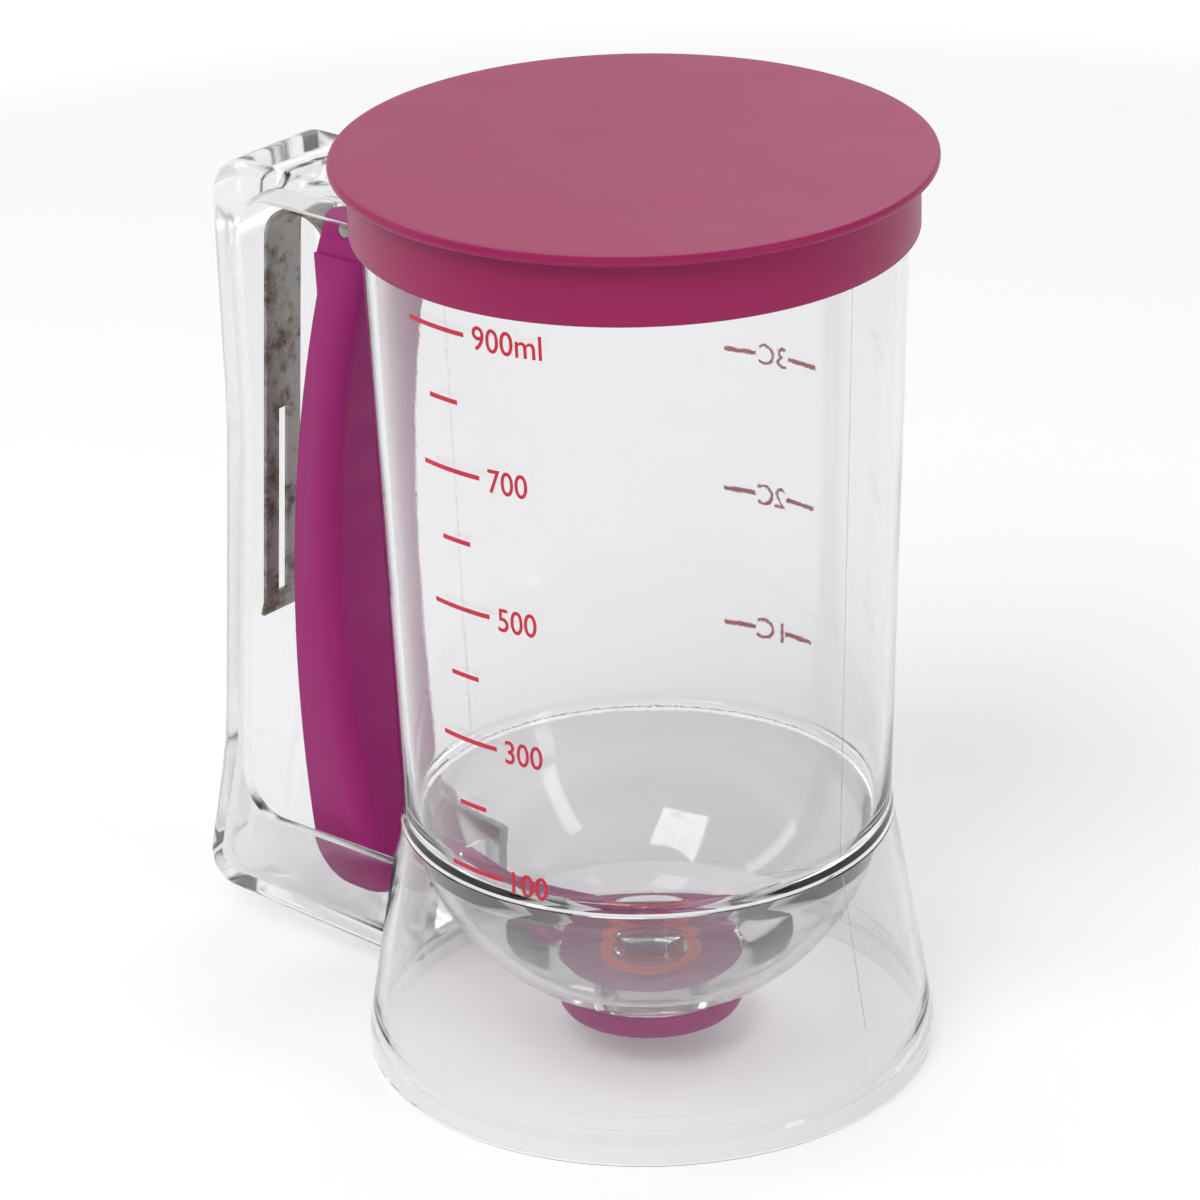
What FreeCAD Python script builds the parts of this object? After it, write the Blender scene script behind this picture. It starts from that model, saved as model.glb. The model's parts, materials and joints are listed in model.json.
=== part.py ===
import FreeCAD
import Part
import math
import os

# A hand-held batter dispenser. A clear tumbler ends in a round hopper with an outlet, and stands on
# a flared skirt. A squeeze lever behind it swings a valve paddle away from the outlet.
# Sizes are millimetres. Z is up, the base plane is z = 0, the axis of the tumbler is Z, and the
# handle is on the -X side, so reaches along -X are given as positive distances from the axis.

V = FreeCAD.Vector
UP = V(0, 0, 1)

# Tumbler, hopper and skirt
base_radius = 56.4
base_lip_height = 4.5
skirt_top_radius = 48.7
skirt_wall = 2.2
joint_height = 49.6
flange_thickness = 2.2
tumbler_foot_radius = 48.1
tumbler_rim_radius = 52.4
tumbler_height = 184.6
tumbler_wall = 2.2
rim_bevel = 0.5
bowl_radius = 46.5
bowl_wall = 2.2
bowl_neck_radius = 46.1
collar_radius = 18.9
outlet_height = 12.6
outlet_floor = 2.4
outlet_radius = 7.0

# Slot in the skirt that the valve arm passes through
slot_width = 14.0
slot_bottom = 7.0
slot_top = 24.0
slot_corner = 4.0

# Lid
lid_radius = 57.7
lid_thickness = 2.0
lid_bevel = 0.6
lid_band_radius = 54.1
lid_band_depth = 12.8
lid_fit = 0.08

# Handle, a channel that opens towards the lever
handle_width = 26.0
handle_side_wall = 2.4
handle_floor = 3.6
handle_rounding = 2.6
handle_lid_gap = 3.0
handle_waist_reach = 98.8
handle_waist_height = 112.0
handle_top_reach = 99.8
handle_knee_reach = 103.9
handle_knee_height = 40.0
handle_waist_bend = 300.0
handle_knee_bend = 120.0
opening_knee_bend = 60.0
handle_heel_reach = 111.3
handle_heel_height = 5.6
handle_toe_height = 2.4
handle_top_corner = 9.0
handle_heel_corner = 7.0
channel_top_corner = 18.0
post_depth = 6.4
top_bar_depth = 7.2
bottom_wall_top = 24.8
root_reach = 44.0

# Pivot
pin_reach = 66.8
pin_drop = 10.3
pin_radius = 1.5
pin_running_fit = 0.06
lug_radius = 4.2
lug_thickness = 1.8
side_clearance = 0.3

# Squeeze lever
lever_width = 19.6
lever_wall = 2.2
lever_front_rounding = 4.0
ear_radius = 5.2
ear_recess = 0.8
lever_bottom = 14.8
lever_front_top_reach = 61.6
lever_front_belly_reach = 73.2
lever_front_toe_reach = 62.6
lever_shoulder_drop = 16.2
lever_shoulder_reach = 74.3
lever_neck_drop = 24.8
lever_neck_reach = 73.9
lever_back_belly_reach = 84.1
lever_belly_height = 70.0
lever_heel_reach = 81.0
lever_heel_height = 22.0

# Valve paddle and seal
paddle_radius = 18.5
paddle_gap = 0.7
paddle_web = 2.4
paddle_depth = 4.9
paddle_wall = 2.2
arm_width = 9.0
arm_thickness = 3.0
arm_root_length = 13.0
arm_root_width = 14.6
arm_fit = 0.1
seal_inner_radius = 7.5
seal_outer_radius = 10.5
seal_height = 1.7
seal_gap = 0.3
seal_fit = 0.05
seal_bevel = 0.4

# Hairpin leaf spring
spring_width = 10.0
spring_thickness = 0.8
spring_foot_height = 66.4
spring_top_drop = 10.9
spring_outer_reach = 91.4
spring_inner_reach = 75.4
spring_bend = 7.6
spring_tip_height = 118.0
spring_foot_reach = 97.0
spring_foot_rise = 3.0
spring_gap = 0.12
spring_slot_width = 2.6
spring_slot_bottom = 71.0
spring_slot_top = 112.0

# Heights and radii that follow from the sizes above
handle_top = tumbler_height - lid_band_depth - handle_lid_gap
pin_height = handle_top - pin_drop
lever_shoulder_height = handle_top - lever_shoulder_drop
lever_neck_height = handle_top - lever_neck_drop
spring_top_height = handle_top - spring_top_drop
flange_top = joint_height + flange_thickness
bowl_centre = joint_height + math.sqrt(bowl_radius ** 2 - bowl_neck_radius ** 2)
paddle_top = outlet_height - paddle_gap
seal_top = outlet_height - seal_gap
channel_half = handle_width / 2 - handle_side_wall
lever_half = lever_width / 2
lever_inner_half = lever_half - lever_wall
ear_half = lever_half - ear_recess
lug_outer = lever_inner_half - side_clearance
lever_floor = lever_bottom + lever_wall


def at(reach, height, y=0.0):
    """Point on the handle side, given by its distance from the axis and its height."""
    return V(-reach, y, height)


def rounded(corners, closed=True):
    """Wire through (reach, height, radius) corners, with a tangent arc at each corner."""
    spots = [at(reach, height) for reach, height, radius in corners]
    last = len(corners) - 1
    bends = []
    for i, (reach, height, radius) in enumerate(corners):
        here = spots[i]
        if radius == 0 or (not closed and i in (0, last)):
            bends.append((here, None, here))
            continue
        back = (spots[i - 1] - here).normalize()
        ahead = (spots[(i + 1) % len(spots)] - here).normalize()
        half = back.getAngle(ahead) / 2
        inward = (back + ahead).normalize()
        middle = here + inward * (radius / math.sin(half) - radius)
        run = radius / math.tan(half)
        bends.append((here + back * run, middle, here + ahead * run))
    edges = []
    for i, (start, middle, end) in enumerate(bends):
        if middle is not None:
            edges.append(Part.Arc(start, middle, end).toShape())
        if closed or i < last:
            edges.append(Part.makeLine(end, bends[(i + 1) % len(bends)][0]))
    return Part.Wire(edges)


def turned(edges):
    """Solid of revolution about Z from a closed chain of edges in the XZ plane."""
    solid = Part.Face(Part.Wire(edges)).revolve(V(0, 0, 0), UP, 360)
    return solid if solid.Volume > 0 else solid.reversed()


def lines(*points):
    """Straight edges through the points, in order."""
    return [Part.makeLine(a, b) for a, b in zip(points, points[1:])]


def slab(wire, low, high):
    """Closed side outline in the XZ plane, made solid from y = low to y = high."""
    face = Part.Face(wire)
    face.translate(V(0, low, 0))
    return face.extrude(V(0, high - low, 0))


def block(reach_far, reach_near, half_width, low, high):
    """Box between two reaches, centred on y = 0."""
    return Part.makeBox(reach_far - reach_near, 2 * half_width, high - low,
                        at(reach_far, low, -half_width))


def cross_pin(radius, half_length):
    """Cylinder along Y on the pivot axis."""
    return Part.makeCylinder(radius, 2 * half_length, at(pin_reach, pin_height, -half_length),
                             V(0, 1, 0))


def bowl_radius_at(height, radius):
    """Distance from the axis of a ball on the bowl's centre."""
    return math.sqrt(radius ** 2 - (bowl_centre - height) ** 2)


def bowl_height_at(distance, radius):
    """Height of the lower side of a ball on the bowl's centre."""
    return bowl_centre - math.sqrt(radius ** 2 - distance ** 2)


def outer_envelope():
    """Everything inside the outer faces of the tumbler, flange and skirt."""
    return turned(lines(V(0, 0, 0), V(base_radius, 0, 0), V(base_radius, 0, base_lip_height),
                        V(skirt_top_radius, 0, joint_height), V(skirt_top_radius, 0, flange_top),
                        V(tumbler_foot_radius, 0, flange_top),
                        V(tumbler_rim_radius, 0, tumbler_height), V(0, 0, tumbler_height),
                        V(0, 0, 0)))


def tumbler_body():
    """Tapered clear tube, open at both ends, with an eased rim."""
    tube = turned(lines(V(tumbler_foot_radius, 0, flange_top),
                        V(tumbler_rim_radius, 0, tumbler_height),
                        V(tumbler_rim_radius - tumbler_wall, 0, tumbler_height),
                        V(tumbler_foot_radius - tumbler_wall, 0, flange_top),
                        V(tumbler_foot_radius, 0, flange_top)))
    rims = [e for e in tube.Edges if e.Closed and e.BoundBox.ZMin > tumbler_height - 0.1]
    return tube.makeChamfer(rim_bevel, rims)


def base_skirt():
    """Flared clear base with a straight lip, and a slot at the back for the valve arm."""
    shell = turned(lines(V(base_radius, 0, 0), V(base_radius, 0, base_lip_height),
                         V(skirt_top_radius, 0, joint_height),
                         V(skirt_top_radius - skirt_wall, 0, joint_height),
                         V(base_radius - skirt_wall, 0, base_lip_height),
                         V(base_radius - skirt_wall, 0, 0), V(base_radius, 0, 0)))
    slot = block(base_radius + 1, skirt_top_radius - skirt_wall - 1, slot_width / 2,
                 slot_bottom, slot_top)
    ridges = [e for e in slot.Edges if e.BoundBox.XLength > 1]
    return shell.cut(slot.makeFillet(slot_corner, ridges))


def hopper_bowl():
    """Round clear hopper that hangs from its flange, with a thick outlet collar at the bottom."""
    inside = bowl_radius - bowl_wall
    floor_height = outlet_height + outlet_floor
    floor_radius = bowl_radius_at(floor_height, inside)
    collar_top = bowl_height_at(collar_radius, bowl_radius)
    brink = bowl_neck_radius - bowl_wall
    middle = bowl_radius / math.sqrt(2)
    inner_middle = inside / math.sqrt(2)
    outer_arc = Part.Arc(V(bowl_neck_radius, 0, joint_height),
                         V(middle, 0, bowl_height_at(middle, bowl_radius)),
                         V(collar_radius, 0, collar_top)).toShape()
    inner_arc = Part.Arc(V(floor_radius, 0, floor_height),
                         V(inner_middle, 0, bowl_height_at(inner_middle, inside)),
                         V(brink, 0, bowl_height_at(brink, inside))).toShape()
    edges = lines(V(skirt_top_radius, 0, joint_height), V(bowl_neck_radius, 0, joint_height))
    edges += [outer_arc]
    edges += lines(V(collar_radius, 0, collar_top), V(collar_radius, 0, outlet_height),
                   V(outlet_radius, 0, outlet_height), V(outlet_radius, 0, floor_height),
                   V(floor_radius, 0, floor_height))
    edges += [inner_arc]
    edges += lines(V(brink, 0, bowl_height_at(brink, inside)),
                   V(tumbler_foot_radius - tumbler_wall, 0, flange_top),
                   V(skirt_top_radius, 0, flange_top), V(skirt_top_radius, 0, joint_height))
    return turned(edges)


def handle_profile(inset, root, corner, heel):
    """Outer outline of the handle, moved inwards by inset, and closed at the root reach."""
    return rounded([(root, handle_top - inset, 0),
                    (handle_top_reach - inset, handle_top - inset, corner),
                    (handle_waist_reach - inset, handle_waist_height, handle_waist_bend),
                    (handle_knee_reach - inset, handle_knee_height, handle_knee_bend),
                    (handle_heel_reach - inset, handle_heel_height + inset, heel),
                    (root, handle_toe_height + inset, 0)])


def finger_opening():
    """Outline of the open middle of the handle, between the edges of its side walls."""
    ceiling = handle_top - top_bar_depth
    return rounded([(root_reach - 5, ceiling, 0),
                    (handle_top_reach - post_depth, ceiling, handle_top_corner),
                    (handle_waist_reach - post_depth, handle_waist_height, handle_waist_bend),
                    (handle_knee_reach - post_depth, handle_knee_height, opening_knee_bend),
                    (handle_knee_reach - post_depth + 1, bottom_wall_top, handle_top_corner),
                    (root_reach - 5, bottom_wall_top, 0)])


def handle_frame(envelope):
    """Channel-section handle with two pivot lugs under its top bar."""
    half = handle_width / 2
    solid = slab(handle_profile(0, root_reach, handle_top_corner, handle_heel_corner), -half, half)
    rims = [e for e in solid.Edges
            if e.BoundBox.YLength < 0.01 and e.BoundBox.XMin < -root_reach - 0.01]
    solid = solid.makeFillet(handle_rounding, rims)
    solid = solid.cut(slab(finger_opening(), -half - 1, half + 1))
    channel = handle_profile(handle_floor, root_reach - 5, channel_top_corner, handle_floor)
    solid = solid.cut(slab(channel, -channel_half, channel_half))
    lug_root = handle_top - handle_floor
    lug = rounded([(pin_reach + lug_radius, lug_root, 0),
                   (pin_reach + lug_radius, pin_height - lug_radius, lug_radius * 0.98),
                   (pin_reach - lug_radius, pin_height - lug_radius, lug_radius * 0.98),
                   (pin_reach - lug_radius, lug_root, 0)])
    for inner in (lug_outer - lug_thickness, -lug_outer):
        solid = solid.fuse(slab(lug, inner, inner + lug_thickness))
    return solid.cut(cross_pin(pin_radius, half)).cut(envelope)


def lid_cap():
    """Push-on lid: a flat disc with eased edges over a band that fits round the rim."""
    top = tumbler_height + lid_thickness
    disc = Part.makeCylinder(lid_radius, lid_thickness, V(0, 0, tumbler_height))
    disc = disc.makeChamfer(lid_bevel, [e for e in disc.Edges if e.BoundBox.ZLength < 0.01])
    bore = tumbler_rim_radius + lid_fit
    band = turned(lines(V(bore, 0, tumbler_height - lid_band_depth),
                        V(lid_band_radius, 0, tumbler_height - lid_band_depth),
                        V(lid_band_radius, 0, top - lid_thickness / 2),
                        V(bore, 0, top - lid_thickness / 2),
                        V(bore, 0, tumbler_height - lid_band_depth)))
    return disc.fuse(band).removeSplitter()


def lever_outline():
    """Side outline of the squeeze lever: bowed grip, heel, and ears round the pivot."""
    belly = lever_belly_height
    toe = at(lever_front_toe_reach, lever_bottom)
    front_top = at(lever_front_top_reach, pin_height)
    front_neck = at(lever_front_top_reach, lever_shoulder_height)
    heel = at(lever_heel_reach, lever_heel_height)
    sole = at(lever_heel_reach - 9.5, lever_bottom)
    heel_bend = at(lever_heel_reach - 2.9, lever_bottom + 2.6)
    neck = at(lever_neck_reach, lever_neck_height)
    shoulder = at(lever_shoulder_reach, lever_shoulder_height)
    slope = math.radians(30)
    ear_back = at(pin_reach + ear_radius * math.cos(slope), pin_height + ear_radius * math.sin(slope))
    edges = [Part.Arc(neck, at(lever_back_belly_reach, belly), heel).toShape(),
             Part.Arc(heel, heel_bend, sole).toShape(),
             Part.makeLine(sole, toe),
             Part.Arc(toe, at(lever_front_belly_reach, belly), front_neck).toShape(),
             Part.makeLine(front_neck, front_top),
             Part.Arc(front_top, at(pin_reach, pin_height + ear_radius), ear_back).toShape(),
             Part.makeLine(ear_back, shoulder), Part.makeLine(shoulder, neck)]
    return Part.Wire(edges)


def lever_front_arc(wall):
    """Arc of the bowed front on the inside of its wall, from the floor up to the neck."""
    return Part.Arc(at(lever_front_toe_reach + wall, lever_floor),
                    at(lever_front_belly_reach + wall, lever_belly_height),
                    at(lever_front_top_reach + wall, lever_shoulder_height - wall)).toShape()


def lever_hollow():
    """Outline of the hollow, open towards the handle and between the ears."""
    wall = lever_wall
    behind = lever_back_belly_reach + 10
    front = lever_front_arc(wall)
    front_top = front.Vertexes[-1].Point
    above = pin_height + ear_radius + 5
    edges = [front]
    edges += lines(front_top, at(lever_front_top_reach - 5, lever_shoulder_height - wall),
                   at(lever_front_top_reach - 5, above), at(behind, above),
                   at(behind, lever_floor), at(lever_front_toe_reach + wall, lever_floor))
    return Part.Wire(edges)


def squeeze_lever():
    """Hollow lever with a rounded front, two ears on the pin and a window for the arm."""
    solid = slab(lever_outline(), -lever_half, lever_half)
    belly = -(lever_front_belly_reach + lever_back_belly_reach) / 2
    fronts = [e for e in solid.Edges
              if e.BoundBox.YLength < 0.01 and e.BoundBox.ZLength > 90 and e.BoundBox.XMax > belly / 1.2]
    solid = solid.makeFillet(lever_front_rounding, fronts)
    solid = solid.cut(slab(lever_hollow(), -lever_inner_half, lever_inner_half))
    for side in (-1, 1):
        recess = Part.makeBox(60, ear_recess + 1, 40,
                              at(lever_back_belly_reach + 10, lever_shoulder_height,
                                 ear_half if side > 0 else -ear_half - ear_recess - 1))
        solid = solid.cut(recess)
    window = block(lever_front_toe_reach + 20, lever_front_toe_reach - 5, arm_width / 2 + arm_fit,
                   lever_floor, lever_floor + arm_thickness + arm_fit)
    return solid.cut(window).cut(cross_pin(pin_radius + pin_running_fit, lever_half))


def valve_paddle():
    """Round valve plate on a curved arm, whose wide root sits in the foot of the lever."""
    bottom = paddle_top - paddle_depth
    under = paddle_top - paddle_web
    rim = V(paddle_radius, 0, bottom + 2)
    slope = V(paddle_radius - 0.8, 0, bottom + 0.6)
    toe = V(paddle_radius - 2.5, 0, bottom)
    lip = paddle_radius - paddle_wall - 1.2
    plate = turned(lines(V(0, 0, under), V(0, 0, paddle_top), V(paddle_radius, 0, paddle_top), rim,
                         slope, toe, V(lip, 0, bottom), V(lip, 0, under), V(0, 0, under)))
    groove_floor = seal_top - seal_height
    groove = Part.makeCylinder(seal_outer_radius + seal_fit, seal_height, V(0, 0, groove_floor))
    island = Part.makeCylinder(seal_inner_radius - seal_fit, seal_height, V(0, 0, groove_floor))

    root_top = lever_floor + arm_thickness
    spine = [at(lever_front_toe_reach, root_top), at(50, root_top - 1.7),
             at(36, paddle_top + 2.7), at(paddle_radius - 0.5, paddle_top)]
    upper = Part.BSplineCurve()
    upper.interpolate(spine)
    lower = upper.copy()
    lower.translate(V(0, 0, -arm_thickness))
    start, end = spine[0], spine[-1]
    drop = V(0, 0, -arm_thickness)
    sides = [upper.toShape(), Part.makeLine(end, end + drop), lower.toShape(),
             Part.makeLine(start + drop, start)]
    arm = slab(Part.Wire(Part.__sortEdges__(sides)), -arm_width / 2, arm_width / 2)
    neck = block(lever_front_toe_reach + lever_wall + 2, lever_front_toe_reach, arm_width / 2,
                 lever_floor, root_top)
    root = block(lever_front_toe_reach + lever_wall + 2 + arm_root_length,
                 lever_front_toe_reach + lever_wall + 2, arm_root_width / 2, lever_floor, root_top)
    bridge = block(paddle_radius - 0.5, paddle_radius - paddle_wall - 3, arm_width / 2,
                   paddle_top - arm_thickness, paddle_top)
    solid = plate.fuse([arm, neck, root, bridge]).removeSplitter()
    return solid.cut(groove.cut(island))


def valve_seal():
    """Silicone ring in the groove of the valve plate."""
    ring = Part.makeCylinder(seal_outer_radius, seal_height, V(0, 0, seal_top - seal_height))
    ring = ring.cut(Part.makeCylinder(seal_inner_radius, seal_height,
                                      V(0, 0, seal_top - seal_height)))
    lips = [e for e in ring.Edges if e.Closed and e.BoundBox.ZMin > seal_top - 0.01]
    return ring.makeChamfer(seal_bevel, lips)


def pivot_pin():
    """Steel pin, flush with the outside of the ears."""
    return cross_pin(pin_radius, ear_half)


def post_floor_reach(height):
    """Reach of the channel floor in the lower half of the post."""
    share = (handle_waist_height - height) / (handle_waist_height - handle_knee_height)
    outer = handle_waist_reach + share * (handle_knee_reach - handle_waist_reach)
    return outer - handle_floor


def leaf_spring():
    """Hairpin strip: a long leg on the post, a bend over the top, a short leg in the lever."""
    half = spring_thickness / 2
    rest = half + spring_gap
    front = lever_front_arc(lever_wall).Curve
    rise = spring_tip_height - front.Center.z
    tip = math.sqrt(front.Radius ** 2 - rise ** 2) - front.Center.x + rest
    foot_height = spring_foot_height + spring_foot_rise
    crown = spring_top_height - half
    foot = at(post_floor_reach(spring_foot_height) - rest, spring_foot_height)
    path = rounded([(-foot.x, foot.z, 0), (spring_foot_reach, foot_height, 2.0),
                    (spring_outer_reach, crown, spring_bend), (spring_inner_reach, crown, spring_bend),
                    (tip, spring_tip_height, 0)], closed=False)
    along = (at(spring_foot_reach, foot_height) - foot).normalize()
    across = V(-along.z, 0, along.x) * half
    side = V(0, spring_width / 2, 0)
    section = Part.makePolygon([foot + across - side, foot - across - side, foot - across + side,
                                foot + across + side, foot + across - side])
    strip = path.makePipeShell([section], True, False)
    slot = block(handle_knee_reach, spring_inner_reach + 5, spring_slot_width / 2,
                 spring_slot_bottom, spring_slot_top)
    return strip.cut(slot)


def main():
    envelope = outer_envelope()
    pieces = {
        "tumbler_body": tumbler_body(),
        "base_skirt": base_skirt(),
        "hopper_bowl": hopper_bowl(),
        "handle_frame": handle_frame(envelope),
        "lid_cap": lid_cap(),
        "squeeze_lever": squeeze_lever(),
        "valve_paddle": valve_paddle(),
        "valve_seal": valve_seal(),
        "pivot_pin": pivot_pin(),
        "leaf_spring": leaf_spring(),
    }
    os.makedirs("parts", exist_ok=True)
    for name, shape in pieces.items():
        print(name, shape.isValid(), len(shape.Solids), round(shape.Volume, 1))
        shape.exportStep(os.path.join("parts", name + ".step"))


main()
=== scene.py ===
import json
import math

import bpy
from bpy.props import FloatProperty, FloatVectorProperty, PointerProperty
from mathutils import Matrix, Vector

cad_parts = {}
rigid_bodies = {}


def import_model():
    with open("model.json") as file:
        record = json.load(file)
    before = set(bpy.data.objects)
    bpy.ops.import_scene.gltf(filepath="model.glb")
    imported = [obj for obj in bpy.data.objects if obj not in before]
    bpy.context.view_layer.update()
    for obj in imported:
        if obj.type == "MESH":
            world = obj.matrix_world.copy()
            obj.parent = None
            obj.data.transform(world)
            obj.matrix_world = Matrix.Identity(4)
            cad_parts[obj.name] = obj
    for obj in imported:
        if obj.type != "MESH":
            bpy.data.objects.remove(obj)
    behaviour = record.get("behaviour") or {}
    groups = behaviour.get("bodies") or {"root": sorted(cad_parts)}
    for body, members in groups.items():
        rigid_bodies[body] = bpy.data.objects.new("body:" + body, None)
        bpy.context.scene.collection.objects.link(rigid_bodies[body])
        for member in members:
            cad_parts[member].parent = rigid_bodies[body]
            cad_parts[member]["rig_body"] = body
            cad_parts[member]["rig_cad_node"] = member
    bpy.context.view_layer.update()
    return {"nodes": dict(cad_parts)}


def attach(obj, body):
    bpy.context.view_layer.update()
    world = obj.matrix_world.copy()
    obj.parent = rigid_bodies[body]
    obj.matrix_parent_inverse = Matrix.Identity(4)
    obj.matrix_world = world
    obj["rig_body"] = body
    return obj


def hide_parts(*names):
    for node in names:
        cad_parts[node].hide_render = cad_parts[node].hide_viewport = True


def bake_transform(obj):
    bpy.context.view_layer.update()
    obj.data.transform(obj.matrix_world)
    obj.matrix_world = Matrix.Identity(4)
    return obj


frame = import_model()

# The looks of a hand-held batter dispenser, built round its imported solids.
# Metres, Z up, the axis of the tumbler is Z and the handle is on the -X side.
# Angles on the tumbler are counted from +X, positive towards +Y.

bl_info = {
    "name": "Batter dispenser",
    "version": (1, 0, 0),
    "blender": (4, 5, 0),
    "location": "View3D > Sidebar > Dispenser",
    "description": "Models a clear batter dispenser with a push-on lid and a squeeze lever",
    "category": "Object",
}

MM = 0.001
TURN_STEPS = 192            # sides of a turned piece
HAIR_GAP = 0.04 * MM        # left where two clear mouldings meet

# Heights and radii of the clear mouldings, as in their solids
BASE_RADIUS = 56.4 * MM
LIP_HEIGHT = 4.5 * MM
SEAM_BOTTOM = 49.6 * MM
SEAM_TOP = 51.8 * MM
SEAM_RADIUS = 48.7 * MM
FOOT_RADIUS = 48.1 * MM
RIM_RADIUS = 52.4 * MM
RIM_HEIGHT = 184.6 * MM
BALL_RADIUS = 46.5 * MM
BALL_CENTRE = SEAM_BOTTOM + 6.09 * MM
NECK_RADIUS = 46.1 * MM
COLLAR_RADIUS = 18.9 * MM
OUTLET_RADIUS = 7.0 * MM
OUTLET_HEIGHT = 12.6 * MM


# ---------------------------------------------------------------- settings

class DispenserSizes(bpy.types.PropertyGroup):
    """Sizes that a user may change."""

    wall: FloatProperty(name="Wall", description="Thickness of the clear walls",
                        default=2.2 * MM, unit="LENGTH")
    outlet_floor: FloatProperty(name="Outlet floor", description="Height of the hopper's floor",
                                default=22.5 * MM, unit="LENGTH")
    rim_round: FloatProperty(name="Rim rounding", description="Radius of the tumbler's rim",
                             default=0.7 * MM, unit="LENGTH")
    lid_round: FloatProperty(name="Lid rounding", description="Radius of the edge of the lid",
                             default=0.85 * MM, unit="LENGTH")
    edge_round: FloatProperty(name="Edge rounding", description="Radius of moulded edges",
                              default=0.28 * MM, unit="LENGTH")
    mark_line: FloatProperty(name="Mark line", description="Height of a printed line",
                             default=0.95 * MM, unit="LENGTH")
    mark_height: FloatProperty(name="Number height", description="Height of a printed number",
                               default=4.9 * MM, unit="LENGTH")
    ink_lift: FloatProperty(name="Ink thickness", description="How far the print stands off",
                            default=0.05 * MM, unit="LENGTH")


class DispenserColours(bpy.types.PropertyGroup):
    """Colours and finishes that a user may change."""

    lid: FloatVectorProperty(name="Lid", description="Push-on lid", size=3,
                             subtype="COLOR", default=(0.30, 0.016, 0.09))
    plum: FloatVectorProperty(name="Plum", description="Lever and valve", size=3,
                              subtype="COLOR", default=(0.31, 0.022, 0.155))
    clear: FloatVectorProperty(name="Clear", description="Tint of the clear plastic", size=3,
                               subtype="COLOR", default=(0.93, 0.926, 0.932))
    seal: FloatVectorProperty(name="Seal", description="Silicone ring", size=3,
                              subtype="COLOR", default=(0.72, 0.045, 0.03))
    steel: FloatVectorProperty(name="Steel", description="Spring and pin", size=3,
                               subtype="COLOR", default=(0.40, 0.385, 0.365))
    ink: FloatVectorProperty(name="Ink", description="Printed marks", size=3,
                             subtype="COLOR", default=(0.56, 0.006, 0.036))


class DispenserStudio(bpy.types.PropertyGroup):
    """Light levels of the stage."""

    key: FloatProperty(name="Key", description="Power of the large lamp, in watts", default=11.0)
    fill: FloatProperty(name="Fill", description="Power of the side lamps, in watts", default=2.5)
    ambient: FloatProperty(name="Ambient", description="Brightness of the surroundings",
                           default=0.45)
    floor: FloatProperty(name="Floor", description="Glow that lifts the floor to white",
                         default=0.15)


# ---------------------------------------------------------------- modelling helpers

def start_fresh():
    """Leave edit mode and deselect everything."""
    if bpy.context.object and bpy.context.object.mode != "OBJECT":
        bpy.ops.object.mode_set(mode="OBJECT")
    bpy.ops.object.select_all(action="DESELECT")


def finish_piece(obj, material, body, angle=35):
    """Smooth a finished mesh, give it its material, and let it ride on a body."""
    start_fresh()
    bpy.context.view_layer.objects.active = obj
    obj.select_set(True)
    bpy.ops.object.transform_apply(location=True, rotation=True, scale=True)
    bpy.ops.object.shade_smooth_by_angle(angle=math.radians(angle))
    obj.data.materials.clear()
    obj.data.materials.append(material)
    if body:
        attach(obj, body)
    obj.select_set(False)


def select_open_edges():
    """Select the edges, in edit mode, that have a face on one side only."""
    bpy.ops.mesh.select_all(action="DESELECT")
    bpy.ops.mesh.select_non_manifold(extend=False, use_wire=False, use_boundary=True,
                                     use_multi_face=False, use_non_contiguous=False,
                                     use_verts=False)


def turned(name, profile, closed=True):
    """Piece turned about Z: a ring of the first (radius, height), extruded on to each other one.

    A radius of 0 ends the piece in a pole. A closed profile is bridged back to its first ring.
    """
    start_fresh()
    radius, height = profile[0]
    bpy.ops.mesh.primitive_circle_add(vertices=TURN_STEPS, radius=radius, location=(0, 0, 0))
    obj = bpy.context.object
    obj.name = name
    bpy.ops.object.mode_set(mode="EDIT")
    bpy.ops.mesh.select_all(action="SELECT")
    bpy.ops.transform.translate(value=(0, 0, height))
    for next_radius, next_height in profile[1:]:
        bpy.ops.mesh.extrude_edges_move()
        bpy.ops.transform.translate(value=(0, 0, next_height - height))
        if next_radius == 0:
            bpy.ops.mesh.merge(type="CENTER")
            break
        share = next_radius / radius
        bpy.ops.transform.resize(value=(share, share, 1), center_override=(0, 0, 0))
        radius, height = next_radius, next_height
    if closed:
        select_open_edges()
        bpy.ops.mesh.bridge_edge_loops()
    bpy.ops.mesh.select_all(action="SELECT")
    bpy.ops.mesh.normals_make_consistent(inside=False)
    bpy.ops.object.mode_set(mode="OBJECT")
    return obj


def arc(centre_radius, centre_height, radius, start, end, steps):
    """Profile points on an arc, with angles in degrees from the outward direction."""
    points = []
    for i in range(steps + 1):
        a = math.radians(start + (end - start) * i / steps)
        points.append((centre_radius + radius * math.cos(a), centre_height + radius * math.sin(a)))
    return points


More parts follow.
